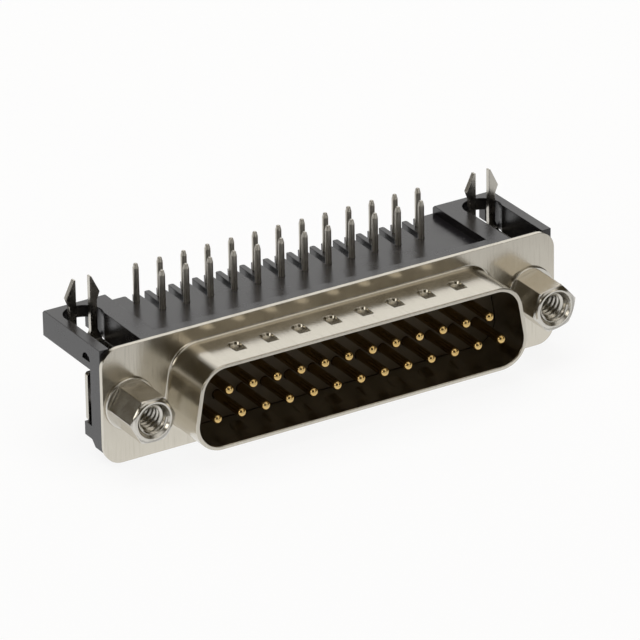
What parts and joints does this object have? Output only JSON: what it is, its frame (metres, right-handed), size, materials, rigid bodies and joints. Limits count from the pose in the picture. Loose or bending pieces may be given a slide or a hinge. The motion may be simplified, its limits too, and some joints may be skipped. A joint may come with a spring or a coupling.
{
  "type": "d-sub connector",
  "caption": "Right-angle board-mount D-subminiature plug with metal shell, bent contacts, hex screwlocks and forked board locks",
  "frame": {"origin": "centre of the D opening, in the plane of the flange's front face", "axes": "+X along the length with contact 1 at +X, -Y towards the cable plug, +Z towards the circuit board, as the picture shows it with its tails up"},
  "size_m": [0.053, 0.018, 0.0164],
  "materials": {
    "tinned_shell": "bright tin plate on drawn steel",
    "insulator_plastic": "moulded glass-filled polyester, fine texture",
    "bracket_plastic": "moulded glass-filled polyester, soft sheen",
    "contact_metal": "gold on the mating pin, bright tin on the tail",
    "nickel_hardware": "nickel plate on turned brass",
    "tinned_strip": "tin plate on spring brass strip"
  },
  "bodies": {
    "root": {"shell_shroud": "tinned_shell", "shell_flange": "tinned_shell", "shell_ear_left": "tinned_shell", "shell_ear_right": "tinned_shell", "insulator_front": "insulator_plastic", "insulator_rear": "insulator_plastic", "bracket_comb": "bracket_plastic", "contact_01": "contact_metal", "contact_02": "contact_metal", "contact_03": "contact_metal", "contact_04": "contact_metal", "contact_05": "contact_metal", "contact_06": "contact_metal", "contact_07": "contact_metal", "contact_08": "contact_metal", "contact_09": "contact_metal", "contact_10": "contact_metal", "contact_11": "contact_metal", "contact_12": "contact_metal", "contact_13": "contact_metal", "contact_14": "contact_metal", "contact_15": "contact_metal", "contact_16": "contact_metal", "contact_17": "contact_metal", "contact_18": "contact_metal", "contact_19": "contact_metal", "contact_20": "contact_metal", "contact_21": "contact_metal", "contact_22": "contact_metal", "contact_23": "contact_metal", "contact_24": "contact_metal", "contact_25": "contact_metal", "bracket_arm_left": "bracket_plastic", "bracket_upright_left": "bracket_plastic", "earth_tab_left": "tinned_strip", "screwlock_left": "nickel_hardware", "washer_left": "nickel_hardware", "insert_left": "nickel_hardware", "board_lock_left": "tinned_strip", "bracket_arm_right": "bracket_plastic", "bracket_upright_right": "bracket_plastic", "earth_tab_right": "tinned_strip", "screwlock_right": "nickel_hardware", "washer_right": "nickel_hardware", "insert_right": "nickel_hardware", "board_lock_right": "tinned_strip"}
  },
  "joints": []
}
